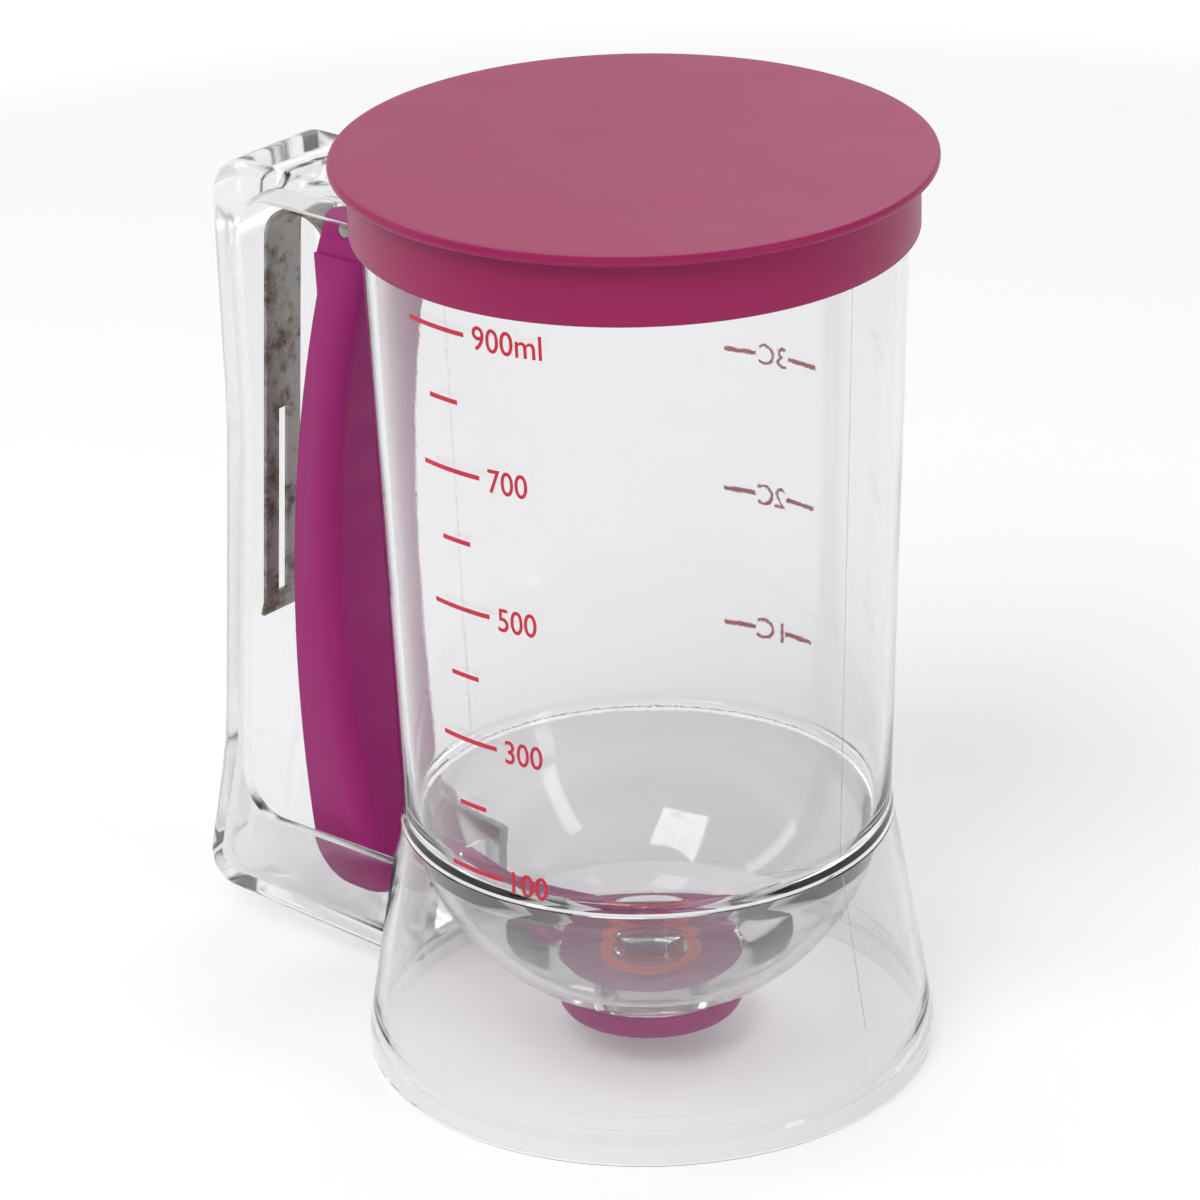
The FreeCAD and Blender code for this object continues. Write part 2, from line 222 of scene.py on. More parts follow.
def smooth_copy(node, name, bevel=0.0):
    """Copy of a CAD node: its triangles merged, flat faces made whole, and edges eased."""
    start_fresh()
    source = frame["nodes"][node]
    obj = source.copy()
    obj.data = source.data.copy()
    obj.name = name
    obj.parent = None
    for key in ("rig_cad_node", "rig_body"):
        if key in obj:
            del obj[key]
    obj.hide_render = obj.hide_viewport = False
    bpy.context.scene.collection.objects.link(obj)
    bpy.context.view_layer.objects.active = obj
    obj.select_set(True)
    bpy.ops.object.mode_set(mode="EDIT")
    bpy.ops.mesh.select_all(action="SELECT")
    bpy.ops.mesh.remove_doubles(threshold=0.002 * MM)
    bpy.ops.mesh.dissolve_limited(angle_limit=math.radians(0.4), use_dissolve_boundaries=False)
    bpy.ops.object.mode_set(mode="OBJECT")
    if bevel:
        ease = obj.modifiers.new("Ease", "BEVEL")
        ease.width = bevel
        ease.segments = 2
        ease.limit_method = "ANGLE"
        ease.angle_limit = math.radians(32)
        ease.harden_normals = False
        bpy.ops.object.modifier_apply(modifier=ease.name)
    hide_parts(node)
    return obj


def box_piece(name, low, high):
    """Cube primitive stretched between two corners."""
    start_fresh()
    bpy.ops.mesh.primitive_cube_add(size=1, location=(0, 0, 0))
    obj = bpy.context.object
    obj.name = name
    bpy.ops.object.mode_set(mode="EDIT")
    bpy.ops.mesh.select_all(action="SELECT")
    bpy.ops.transform.resize(value=Vector(high) - Vector(low), center_override=(0, 0, 0))
    bpy.ops.transform.translate(value=(Vector(high) + Vector(low)) / 2)
    bpy.ops.object.mode_set(mode="OBJECT")
    return obj


def join_all(name, parts):
    """Join several pieces into one."""
    start_fresh()
    for part in parts:
        part.select_set(True)
    bpy.context.view_layer.objects.active = parts[0]
    if len(parts) > 1:
        bpy.ops.object.join()
    parts[0].name = name
    return parts[0]


def wall_radius(height):
    """Outer radius of the tapered tumbler at a height."""
    share = (height - SEAM_TOP) / (RIM_HEIGHT - SEAM_TOP)
    return FOOT_RADIUS + share * (RIM_RADIUS - FOOT_RADIUS)


def close_hole(obj, height):
    """Fill the open ring of a turned piece at a height, with a pole in its middle."""
    start_fresh()
    bpy.context.view_layer.objects.active = obj
    obj.select_set(True)
    bpy.ops.object.mode_set(mode="EDIT")
    bpy.ops.mesh.select_mode(type="EDGE")
    select_open_edges()
    bpy.ops.object.mode_set(mode="OBJECT")
    points = obj.data.vertices
    for edge in obj.data.edges:
        edge.select = edge.select and abs(points[edge.vertices[0]].co.z - height) < 0.01 * MM
    bpy.ops.object.mode_set(mode="EDIT")
    bpy.ops.mesh.extrude_edges_move()
    bpy.ops.mesh.merge(type="CENTER")
    bpy.ops.mesh.select_all(action="SELECT")
    bpy.ops.mesh.normals_make_consistent(inside=False)
    bpy.ops.object.mode_set(mode="OBJECT")


def wrap_on_wall(obj, angle, height, lift):
    """Bend a flat piece, drawn in XY with its face towards +Z, round the tumbler at an angle."""
    for point in obj.data.vertices:
        z = height + point.co.y
        radius = wall_radius(z) + lift * 0.4 + point.co.z
        turn = math.radians(angle) + point.co.x / radius
        point.co = (radius * math.cos(turn), radius * math.sin(turn), z)
    return obj


def mark_bar(angle_low, angle_high, height, line, lift):
    """Printed line between two angles of the tumbler."""
    radius = wall_radius(height)
    length = math.radians(angle_high - angle_low) * radius
    obj = box_piece("mark_bar", (-length / 2, -line / 2, 0), (length / 2, line / 2, lift))
    bpy.ops.object.mode_set(mode="EDIT")
    for i in range(1, 12):
        bpy.ops.mesh.select_all(action="SELECT")
        bpy.ops.mesh.bisect(plane_co=(length * (i / 12 - 0.5), 0, 0), plane_no=(1, 0, 0))
    bpy.ops.object.mode_set(mode="OBJECT")
    return wrap_on_wall(obj, (angle_low + angle_high) / 2, height, lift)


def mark_text(words, angle_low, degrees, height, tall, lift, bold=0.0):
    """Printed word that starts at an angle of the tumbler and is so many degrees wide."""
    start_fresh()
    bpy.ops.object.text_add(location=(0, 0, 0))
    obj = bpy.context.object
    obj.data.body = words
    obj.data.extrude = lift / 2
    obj.data.offset = bold
    obj.data.resolution_u = 4
    bpy.ops.object.convert(target="MESH")
    obj = bpy.context.object
    xs = [p.co.x for p in obj.data.vertices]
    ys = [p.co.y for p in obj.data.vertices]
    width = math.radians(degrees) * wall_radius(height)
    stretch = width / (max(xs) - min(xs))
    grow = tall / (max(ys) - min(ys))
    for point in obj.data.vertices:
        point.co = ((point.co.x - min(xs)) * stretch - width / 2,
                    (point.co.y - (max(ys) + min(ys)) / 2) * grow, point.co.z + lift / 2)
    return wrap_on_wall(obj, angle_low + degrees / 2, height, lift)


# ---------------------------------------------------------------- materials

def new_group(name, inputs, outputs):
    """Empty shader node group with named float inputs and outputs."""
    group = bpy.data.node_groups.new(name, "ShaderNodeTree")
    for label, default in inputs:
        socket = group.interface.new_socket(name=label, in_out="INPUT",
                                            socket_type="NodeSocketFloat")
        socket.default_value = default
    for label in outputs:
        group.interface.new_socket(name=label, in_out="OUTPUT", socket_type="NodeSocketFloat")
    nodes = group.nodes
    return group, nodes, group.links, nodes.new("NodeGroupInput"), nodes.new("NodeGroupOutput")


def math_node(nodes, links, operation, first, second=None):
    """Math node on a socket and a socket or number; returns its output."""
    node = nodes.new("ShaderNodeMath")
    node.operation = operation
    for socket, value in zip(node.inputs, (first, second)):
        if isinstance(value, (int, float)):
            socket.default_value = value
        elif value is not None:
            links.new(value, socket)
    return node.outputs[0]


def moulded_skin_group():
    """Slow flow waves and a fine skin, as a height, with a soft mottle."""
    group, nodes, links, given, out = new_group(
        "Moulded skin", [("Flow size", 40.0), ("Skin size", 1500.0), ("Skin depth", 0.25)],
        ["Height", "Mottle"])
    place = nodes.new("ShaderNodeTexCoord")
    flow = nodes.new("ShaderNodeTexNoise")
    flow.inputs["Detail"].default_value = 2.0
    links.new(place.outputs["Object"], flow.inputs["Vector"])
    links.new(given.outputs["Flow size"], flow.inputs["Scale"])
    skin = nodes.new("ShaderNodeTexNoise")
    skin.inputs["Detail"].default_value = 3.0
    links.new(place.outputs["Object"], skin.inputs["Vector"])
    links.new(given.outputs["Skin size"], skin.inputs["Scale"])
    depth = math_node(nodes, links, "MULTIPLY", skin.outputs["Fac"], given.outputs["Skin depth"])
    height = math_node(nodes, links, "ADD", flow.outputs["Fac"], depth)
    links.new(height, out.inputs["Height"])
    links.new(flow.outputs["Fac"], out.inputs["Mottle"])
    return group


def handling_marks_group():
    """Hairline scratches and small dents from use, as a mask from 0 to 1."""
    group, nodes, links, given, out = new_group(
        "Handling marks", [("Size", 90.0), ("Rarity", 0.72)], ["Mask"])
    place = nodes.new("ShaderNodeTexCoord")
    masks = []
    for turn, stretch in ((0.5, (1.0, 9.0, 0.6)), (1.9, (0.5, 1.0, 11.0))):
        mapping = nodes.new("ShaderNodeMapping")
        mapping.inputs["Rotation"].default_value = (turn, turn * 0.7, turn * 1.3)
        mapping.inputs["Scale"].default_value = stretch
        links.new(place.outputs["Object"], mapping.inputs["Vector"])
        noise = nodes.new("ShaderNodeTexNoise")
        noise.inputs["Detail"].default_value = 4.0
        noise.inputs["Roughness"].default_value = 0.7
        links.new(mapping.outputs["Vector"], noise.inputs["Vector"])
        links.new(given.outputs["Size"], noise.inputs["Scale"])
        over = math_node(nodes, links, "SUBTRACT", noise.outputs["Fac"], given.outputs["Rarity"])
        sharp = nodes.new("ShaderNodeMath")
        sharp.operation = "MULTIPLY"
        sharp.use_clamp = True
        sharp.inputs[1].default_value = 14.0
        links.new(over, sharp.inputs[0])
        masks.append(sharp.outputs[0])
    links.new(math_node(nodes, links, "MAXIMUM", masks[0], masks[1]), out.inputs["Mask"])
    return group


def add_group(nodes, group, **values):
    """Group node with its inputs set, underscores standing for spaces."""
    node = nodes.new("ShaderNodeGroup")
    node.node_tree = group
    for key, value in values.items():
        node.inputs[key.replace("_", " ")].default_value = value
    return node


def blank_material(name):
    """Material with a Principled shader; returns it with its nodes, links and shader."""
    material = bpy.data.materials.new(name)
    material.use_nodes = True
    nodes, links = material.node_tree.nodes, material.node_tree.links
    return material, nodes, links, nodes["Principled BSDF"]


def blend_colour(nodes, links, mask, first, second):
    """Colour that goes from the first to the second with the mask."""
    mix = nodes.new("ShaderNodeMix")
    mix.data_type = "RGBA"
    mix.inputs["A"].default_value = (*first, 1)
    mix.inputs["B"].default_value = (*second, 1)
    links.new(mask, mix.inputs["Factor"])
    return mix.outputs["Result"]


def spread(nodes, links, mask, low, high):
    """Number that goes from low to high with the mask."""
    ramp = nodes.new("ShaderNodeMapRange")
    ramp.inputs["To Min"].default_value = low
    ramp.inputs["To Max"].default_value = high
    links.new(mask, ramp.inputs["Value"])
    return ramp.outputs["Result"]


def bump_from(nodes, links, height, distance):
    """Bump node; returns its normal."""
    bump = nodes.new("ShaderNodeBump")
    bump.inputs["Strength"].default_value = 1.0
    bump.inputs["Distance"].default_value = distance
    links.new(height, bump.inputs["Height"])
    return bump.outputs["Normal"]


def scaled(colour, amount):
    """Colour made darker or paler."""
    return tuple(min(1.0, c * amount) for c in colour)


def clear_plastic(name, flow, depth, index=1.44, haze=0.02, shade=0.86, tone=1.0):
    """Clear moulding: refracting, with faint flow waves, hairline marks and a soft shadow."""
    tint = scaled(tuple(bpy.context.scene.dispenser_colours.clear), tone)
    material, nodes, links, shader = blank_material(name)
    skin = add_group(nodes, bpy.data.node_groups["Moulded skin"], Flow_size=flow,
                     Skin_size=900.0, Skin_depth=0.04)
    marks = add_group(nodes, bpy.data.node_groups["Handling marks"], Size=70.0, Rarity=0.74)
    links.new(blend_colour(nodes, links, skin.outputs["Mottle"], tint, scaled(tint, 0.985)),
              shader.inputs["Base Color"])
    links.new(spread(nodes, links, marks.outputs["Mask"], haze, haze + 0.10),
              shader.inputs["Roughness"])
    links.new(bump_from(nodes, links, skin.outputs["Height"], depth), shader.inputs["Normal"])
    shader.inputs["IOR"].default_value = index
    shader.inputs["Transmission Weight"].default_value = 1.0
    path = nodes.new("ShaderNodeLightPath")
    through = nodes.new("ShaderNodeBsdfTransparent")
    through.inputs["Color"].default_value = (*scaled(tint, shade), 1)
    mix = nodes.new("ShaderNodeMixShader")
    # a path that has crossed many walls goes straight on
    deep = math_node(nodes, links, "GREATER_THAN", path.outputs["Ray Depth"], 7.5)
    links.new(math_node(nodes, links, "MAXIMUM", path.outputs["Is Shadow Ray"], deep),
              mix.inputs["Fac"])
    links.new(shader.outputs["BSDF"], mix.inputs[1])
    links.new(through.outputs["BSDF"], mix.inputs[2])
    links.new(mix.outputs["Shader"], nodes["Material Output"].inputs["Surface"])
    return material


def plum_plastic(name, plum, roughness, gloss):
    """Opaque moulded plastic: satin, softly mottled, with small handling marks."""
    material, nodes, links, shader = blank_material(name)
    skin = add_group(nodes, bpy.data.node_groups["Moulded skin"], Flow_size=60.0,
                     Skin_size=2600.0, Skin_depth=0.5)
    marks = add_group(nodes, bpy.data.node_groups["Handling marks"], Size=110.0, Rarity=0.76)
    base = nodes.new("ShaderNodeMix")
    base.data_type = "RGBA"
    links.new(marks.outputs["Mask"], base.inputs["Factor"])
    links.new(blend_colour(nodes, links, skin.outputs["Mottle"], scaled(plum, 0.96),
                           scaled(plum, 1.05)), base.inputs["A"])
    base.inputs["B"].default_value = (*scaled(plum, 1.25), 1)
    links.new(base.outputs["Result"], shader.inputs["Base Color"])
    links.new(spread(nodes, links, skin.outputs["Mottle"], roughness - 0.04, roughness + 0.05),
              shader.inputs["Roughness"])
    links.new(bump_from(nodes, links, skin.outputs["Height"], 0.02 * MM),
              shader.inputs["Normal"])
    shader.inputs["IOR"].default_value = 1.5
    shader.inputs["Specular IOR Level"].default_value = gloss
    shader.inputs["Specular Tint"].default_value = (1.0, 0.4, 0.6, 1)
    return material


def silicone(name):
    """Red silicone: a soft sheen and a soft mottle."""
    red = tuple(bpy.context.scene.dispenser_colours.seal)
    material, nodes, links, shader = blank_material(name)
    skin = add_group(nodes, bpy.data.node_groups["Moulded skin"], Flow_size=150.0,
                     Skin_size=3000.0, Skin_depth=0.4)
    links.new(blend_colour(nodes, links, skin.outputs["Mottle"], scaled(red, 0.85),
                           scaled(red, 1.2)), shader.inputs["Base Color"])
    links.new(spread(nodes, links, skin.outputs["Mottle"], 0.34, 0.5),
              shader.inputs["Roughness"])
    links.new(bump_from(nodes, links, skin.outputs["Height"], 0.02 * MM),
              shader.inputs["Normal"])
    return material


def spring_steel(name):
    """Rolled steel: lines along the strip, with brown and dark stains."""
    steel = tuple(bpy.context.scene.dispenser_colours.steel)
    material, nodes, links, shader = blank_material(name)
    place = nodes.new("ShaderNodeTexCoord")
    along = nodes.new("ShaderNodeMapping")
    along.inputs["Scale"].default_value = (1.0, 1.0, 0.035)
    links.new(place.outputs["Object"], along.inputs["Vector"])
    grain = nodes.new("ShaderNodeTexNoise")
    grain.inputs["Scale"].default_value = 2600.0
    grain.inputs["Detail"].default_value = 3.0
    links.new(along.outputs["Vector"], grain.inputs["Vector"])
    stain = nodes.new("ShaderNodeTexNoise")
    stain.inputs["Scale"].default_value = 130.0
    stain.inputs["Detail"].default_value = 6.0
    stain.inputs["Roughness"].default_value = 0.72
    links.new(place.outputs["Object"], stain.inputs["Vector"])
    ramp = nodes.new("ShaderNodeValToRGB")
    ramp.color_ramp.elements[0].position = 0.36
    ramp.color_ramp.elements[0].color = (0.13, 0.085, 0.05, 1)
    ramp.color_ramp.elements[1].position = 0.52
    ramp.color_ramp.elements[1].color = (*steel, 1)
    links.new(stain.outputs["Fac"], ramp.inputs["Fac"])
    shade = nodes.new("ShaderNodeMix")
    shade.data_type = "RGBA"
    shade.blend_type = "MULTIPLY"
    shade.inputs["Factor"].default_value = 0.45
    links.new(ramp.outputs["Color"], shade.inputs["A"])
    links.new(grain.outputs["Color"], shade.inputs["B"])
    links.new(shade.outputs["Result"], shader.inputs["Base Color"])
    links.new(spread(nodes, links, stain.outputs["Fac"], 0.52, 0.30), shader.inputs["Roughness"])
    links.new(bump_from(nodes, links, grain.outputs["Fac"], 0.01 * MM), shader.inputs["Normal"])
    shader.inputs["Metallic"].default_value = 0.9
    return material


def print_ink(name):
    """Screen-printed ink: flat red, a little thin in places."""
    red = tuple(bpy.context.scene.dispenser_colours.ink)
    material, nodes, links, shader = blank_material(name)
    place = nodes.new("ShaderNodeTexCoord")
    thin = nodes.new("ShaderNodeTexNoise")
    thin.inputs["Scale"].default_value = 900.0
    thin.inputs["Detail"].default_value = 4.0
    links.new(place.outputs["Object"], thin.inputs["Vector"])
    links.new(blend_colour(nodes, links, thin.outputs["Fac"], scaled(red, 0.8),
                           scaled(red, 1.25)), shader.inputs["Base Color"])
    links.new(spread(nodes, links, thin.outputs["Fac"], 0.38, 0.55), shader.inputs["Roughness"])
    return material


# ---------------------------------------------------------------- pieces

class DISPENSER_OT_finishes(bpy.types.Operator):
    """Make the materials that the pieces share"""
    bl_idname = "dispenser.finishes"
    bl_label = "Finishes"

    def execute(self, context):
        moulded_skin_group()
        handling_marks_group()
        clear_plastic("Clear vessel", 22.0, 0.10 * MM, tone=0.985)
        # the skirt's clear tint is darker than the vessel's: painted shade, standing in for the
        # floor in shade seen inside the skirt
        clear_plastic("Clear skirt painted shade", 22.0, 0.10 * MM, tone=0.93)
        clear_plastic("Clear handle", 45.0, 0.10 * MM, index=1.27, haze=0.10, tone=0.95)
        colours = context.scene.dispenser_colours
        plum_plastic("Plum lid", tuple(colours.lid), 0.42, 0.45)
        plum_plastic("Plum lever", tuple(colours.plum), 0.38, 0.22)
        plum_plastic("Plum valve", tuple(colours.plum), 0.40, 0.30)
        silicone("Red silicone")
        spring_steel("Spring steel")
        print_ink("Red ink")
        return {"FINISHED"}


class DISPENSER_OT_vessel(bpy.types.Operator):
    """Model the tumbler and its round hopper, which look like one clear moulding"""
    bl_idname = "dispenser.vessel"
    bl_label = "Tumbler and hopper"

    def execute(self, context):
        sizes = context.scene.dispenser_sizes
        wall, bend, ease = sizes.wall, sizes.rim_round, 0.3 * MM
        top = RIM_HEIGHT - HAIR_GAP
        outer, inner = BALL_RADIUS, BALL_RADIUS - wall
        flange_low = SEAM_BOTTOM + HAIR_GAP
        outlet, outlet_low, outlet_high = OUTLET_RADIUS, OUTLET_HEIGHT, sizes.outlet_floor
        low_angle = -math.degrees(math.acos(COLLAR_RADIUS / outer))
        high_angle = -math.degrees(math.acos(NECK_RADIUS / outer))
        in_low = -math.degrees(math.asin((BALL_CENTRE - outlet_high) / inner))
        levels = [SEAM_TOP + (top - bend - SEAM_TOP) * i / 12 for i in range(1, 12)]
        edge = SEAM_RADIUS - HAIR_GAP
        profile = [(edge, flange_low + ease), (edge, SEAM_TOP - 1.1 * MM),
                   (edge - 0.1 * MM, SEAM_TOP - 0.5 * MM),
                   (FOOT_RADIUS + 0.1 * MM, SEAM_TOP + 0.6 * MM),
                   (wall_radius(SEAM_TOP + 1.4 * MM), SEAM_TOP + 1.4 * MM)]
        profile += [(wall_radius(z), z) for z in levels]
        profile += arc(RIM_RADIUS - bend, top - bend, bend, 0, 90, 5)
        profile += arc(RIM_RADIUS - wall + bend, top - bend, bend, 90, 180, 5)
        profile += [(wall_radius(z) - wall, z) for z in reversed(levels)]
        # the wall runs into the ball without a corner
        profile += [(r * MM, z * MM) for r, z in ((45.95, 58.0), (45.9, 55.0), (45.7, 52.5),
                                                  (45.3, 50.3), (44.6, 48.2), (43.75, 46.2))]
        profile += arc(0, BALL_CENTRE, inner, -15.3, in_low, 26)
        profile += [(outlet + ease, outlet_high), (outlet, outlet_high - ease),
                    (outlet, outlet_low + ease), (outlet + ease, outlet_low),
                    (COLLAR_RADIUS - ease, outlet_low), (COLLAR_RADIUS, outlet_low + ease)]
        profile += arc(0, BALL_CENTRE, outer, low_angle, high_angle, 26)
        profile += [(edge - ease, flange_low)]
        obj = turned("clear_vessel", profile)
        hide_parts("tumbler_body", "hopper_bowl")
        finish_piece(obj, bpy.data.materials["Clear vessel"], "body")
        return {"FINISHED"}


class DISPENSER_OT_skirt(bpy.types.Operator):
    """Model the flared skirt with its lip and the slot for the valve arm"""
    bl_idname = "dispenser.skirt"
    bl_label = "Skirt"

    def execute(self, context):
        wall = context.scene.dispenser_sizes.wall
        top, ease, step = SEAM_BOTTOM - HAIR_GAP, 0.3 * MM, 0.12 * MM
        slope = (BASE_RADIUS - SEAM_RADIUS) / (SEAM_BOTTOM - LIP_HEIGHT)

        def outside(height):
            return BASE_RADIUS - HAIR_GAP - slope * (height - LIP_HEIGHT)

        profile = [(BASE_RADIUS - ease, 0.0), (BASE_RADIUS - HAIR_GAP, ease),
                   (BASE_RADIUS - HAIR_GAP, LIP_HEIGHT),
                   (BASE_RADIUS - step, LIP_HEIGHT + 0.1 * MM)]
        for height in (7.6 * MM, 10.4 * MM):
            profile += [(outside(height) - step, height),
                        (outside(height), height + 0.1 * MM)]
        profile += [(outside(z * MM), z * MM) for z in (16, 24, 32, 40)]
        profile += [(outside(top), top), (SEAM_RADIUS - wall, top)]
        profile += [(outside(z * MM) - wall, z * MM) for z in (40, 32, 24, 16, 10)]
        profile += [(BASE_RADIUS - wall, LIP_HEIGHT), (BASE_RADIUS - wall, ease),
                    (BASE_RADIUS - wall + ease, 0.0)]
        obj = turned("flared_skirt", profile)
        cutter = box_piece("slot_cutter", (-60 * MM, -7 * MM, 7 * MM), (-44 * MM, 7 * MM, 24 * MM))
        bpy.context.view_layer.objects.active = cutter
        bpy.ops.object.mode_set(mode="EDIT")
        bpy.ops.mesh.select_all(action="DESELECT")
        bpy.ops.object.mode_set(mode="OBJECT")
        points = cutter.data.vertices
        for edge in cutter.data.edges:
            ends = [points[i].co for i in edge.vertices]
            edge.select = abs(ends[0].x - ends[1].x) > 5 * MM
        bpy.ops.object.mode_set(mode="EDIT")
        bpy.ops.mesh.bevel(offset=4 * MM, segments=8, affect="EDGES")
        bpy.ops.object.mode_set(mode="OBJECT")
        cut = obj.modifiers.new("Slot", "BOOLEAN")
        cut.object = cutter
        cut.operation = "DIFFERENCE"
        cut.solver = "EXACT"
        start_fresh()
        bpy.context.view_layer.objects.active = obj
        obj.select_set(True)
        bpy.ops.object.modifier_apply(modifier=cut.name)
        bpy.data.objects.remove(cutter)
        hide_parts("base_skirt")
        finish_piece(obj, bpy.data.materials["Clear skirt painted shade"], "body")
        return {"FINISHED"}


class DISPENSER_OT_handle(bpy.types.Operator):
    """Ease the edges of the channel handle and give it its clear finish"""
    bl_idname = "dispenser.handle"
    bl_label = "Handle"

    def execute(self, context):
        ease = context.scene.dispenser_sizes.edge_round
        obj = smooth_copy("handle_frame", "channel_handle", ease)
        finish_piece(obj, bpy.data.materials["Clear handle"], "body", angle=38)
        return {"FINISHED"}


class DISPENSER_OT_lid(bpy.types.Operator):
    """Model the push-on lid with its rounded disc and its band"""
    bl_idname = "dispenser.lid"
    bl_label = "Lid"

    def execute(self, context):
        bend = context.scene.dispenser_sizes.lid_round
        top, under = 186.6 * MM, RIM_HEIGHT
        disc, band, bore = 57.7 * MM, 54.1 * MM, 52.48 * MM
        foot, ease = 171.8 * MM, 0.4 * MM
        ceiling = under - 0.02 * MM
        profile = [(disc - bend - i * 8 * MM, top) for i in (6, 4, 2, 1, 0.2)]
        profile += arc(disc - bend, top - bend, bend, 90, 0, 6)
        profile += arc(disc - bend, under + bend, bend, 0, -90, 6)
        profile += [(band + 0.35 * MM, under), (band, under - 0.35 * MM),
                    (band, under - 3 * MM), (band, foot + 3 * MM)]
        profile += arc(band - ease, foot + ease, ease, 0, -90, 3)
        profile += arc(bore + ease, foot + ease, ease, -90, -180, 3)
        profile += [(bore, ceiling), (30 * MM, ceiling), (4 * MM, ceiling)]
        obj = turned("lid", profile, closed=False)
        for height in (top, ceiling):
            close_hole(obj, height)
        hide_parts("lid_cap")
        finish_piece(obj, bpy.data.materials["Plum lid"], "lid")
        return {"FINISHED"}


class DISPENSER_OT_lever(bpy.types.Operator):
    """Finish the squeeze lever"""
    bl_idname = "dispenser.lever"
    bl_label = "Squeeze lever"

    def execute(self, context):
        ease = context.scene.dispenser_sizes.edge_round
        obj = smooth_copy("squeeze_lever", "grip_lever", ease)
        finish_piece(obj, bpy.data.materials["Plum lever"], "lever", angle=38)
        return {"FINISHED"}


class DISPENSER_OT_valve(bpy.types.Operator):
    """Finish the valve plate with its arm, and the silicone ring in it"""
    bl_idname = "dispenser.valve"
    bl_label = "Valve"

    def execute(self, context):
        ease = context.scene.dispenser_sizes.edge_round
        plate = smooth_copy("valve_paddle", "valve_plate", ease)
        finish_piece(plate, bpy.data.materials["Plum valve"], "lever", angle=38)
        ring = smooth_copy("valve_seal", "seal_ring", ease / 2)
        finish_piece(ring, bpy.data.materials["Red silicone"], "lever", angle=50)
        return {"FINISHED"}


class DISPENSER_OT_spring(bpy.types.Operator):
    """Finish the pin, and the leaf spring between the handle and the lever"""
    bl_idname = "dispenser.spring"
    bl_label = "Spring and pin"

    def execute(self, context):
        steel = bpy.data.materials["Spring steel"]
        strip = smooth_copy("leaf_spring", "hairpin_spring")
        bpy.ops.object.mode_set(mode="EDIT")
        for height in range(72, 157, 4):
            bpy.ops.mesh.select_all(action="SELECT")
            bpy.ops.mesh.bisect(plane_co=(0, 0, height * MM), plane_no=(0, 0, 1))
        for reach in range(77, 92, 2):
            bpy.ops.mesh.select_all(action="SELECT")
            bpy.ops.mesh.bisect(plane_co=(-reach * MM, 0, 0), plane_no=(1, 0, 0))
        bpy.ops.object.mode_set(mode="OBJECT")
        finish_piece(strip, steel, None, angle=30)
        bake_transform(strip)
        pin = smooth_copy("pivot_pin", "hinge_pin", 0.2 * MM)
        finish_piece(pin, steel, "body")
        return {"FINISHED"}


class DISPENSER_OT_volume_marks(bpy.types.Operator):
    """Print the millilitre scale and the cup marks on the tumbler"""
    bl_idname = "dispenser.volume_marks"
    bl_label = "Volume marks"

    def execute(self, context):
        sizes = context.scene.dispenser_sizes
        line, tall, lift = sizes.mark_line, sizes.mark_height, sizes.ink_lift
        ink = bpy.data.materials["Red ink"]
        heights = [53.8, 67.9, 81.8, 95.5, 109.5, 123.5, 137.8, 152.0, 166.1]
        bars, words = [], []
        for hundreds, height in enumerate(heights, start=1):
            z = height * MM
            lean = 0.3 - 2.8 * max(0.0, (height - 109.5) / 56.6) ** 2
            if hundreds % 2:
                bars.append(mark_bar(lean - 101.3, lean - 85.3, z, line, lift))
                label = "900ml" if hundreds == 9 else f"{hundreds}00"
                degrees = 16.0 if hundreds == 9 else 9.4
                bold = 0.014 if hundreds == 1 else 0.008
                words.append(mark_text(label, lean - 83.1, degrees, z, tall, lift, bold))
            else:
                bars.append(mark_bar(lean - 97.3, lean - 89.3, z, line, lift))
        for cups, height in ((3, 128.3), (2, 98.5), (1, 69.5)):
            z = height * MM
            bars.append(mark_bar(84.0, 92.6, z, line, lift))
            bars.append(mark_bar(101.2, 109.5, z, line, lift))
            words.append(mark_text(f"{cups}C", 93.0, 7.6, z, tall * 0.9, lift, 0.003))
        scale = join_all("scale_lines", bars)
        finish_piece(scale, ink, "body")
        numbers = join_all("scale_numbers", words)
        finish_piece(numbers, ink, "body")
        return {"FINISHED"}


class DISPENSER_OT_parting_lines(bpy.types.Operator):
    """Raise the fine lines where the halves of the mould met"""
    bl_idname = "dispenser.parting_lines"
    bl_label = "Parting lines"

    def execute(self, context):
        clear = bpy.data.materials["Clear vessel"]
        half, proud = 0.11 * MM, 0.06 * MM
        for name, side in (("parting_line_front", 1), ("parting_line_back", -1)):
            rods = []
            spans = [(wall_radius(SEAM_TOP + 1 * MM), SEAM_TOP + 1 * MM,
                      wall_radius(171 * MM), 171 * MM)]
            if side > 0:
                spans.append((BASE_RADIUS - 0.2 * MM, LIP_HEIGHT + 1.5 * MM,
                              SEAM_RADIUS, SEAM_BOTTOM - 0.5 * MM))
            for low_radius, low, high_radius, high in spans:
                rod = box_piece("parting_rod", (-proud, -half, 0), (proud, half, high - low))
                for point in rod.data.vertices:
                    share = point.co.z / (high - low)
                    reach = low_radius + share * (high_radius - low_radius)
                    point.co = (side * (reach + point.co.x), point.co.y, low + point.co.z)
                rods.append(rod)
            obj = join_all(name, rods)
            bpy.context.view_layer.objects.active = obj
            bpy.ops.object.mode_set(mode="EDIT")
            bpy.ops.mesh.select_all(action="SELECT")
            bpy.ops.mesh.normals_make_consistent(inside=False)
            bpy.ops.object.mode_set(mode="OBJECT")
            finish_piece(obj, clear, "body")
        return {"FINISHED"}


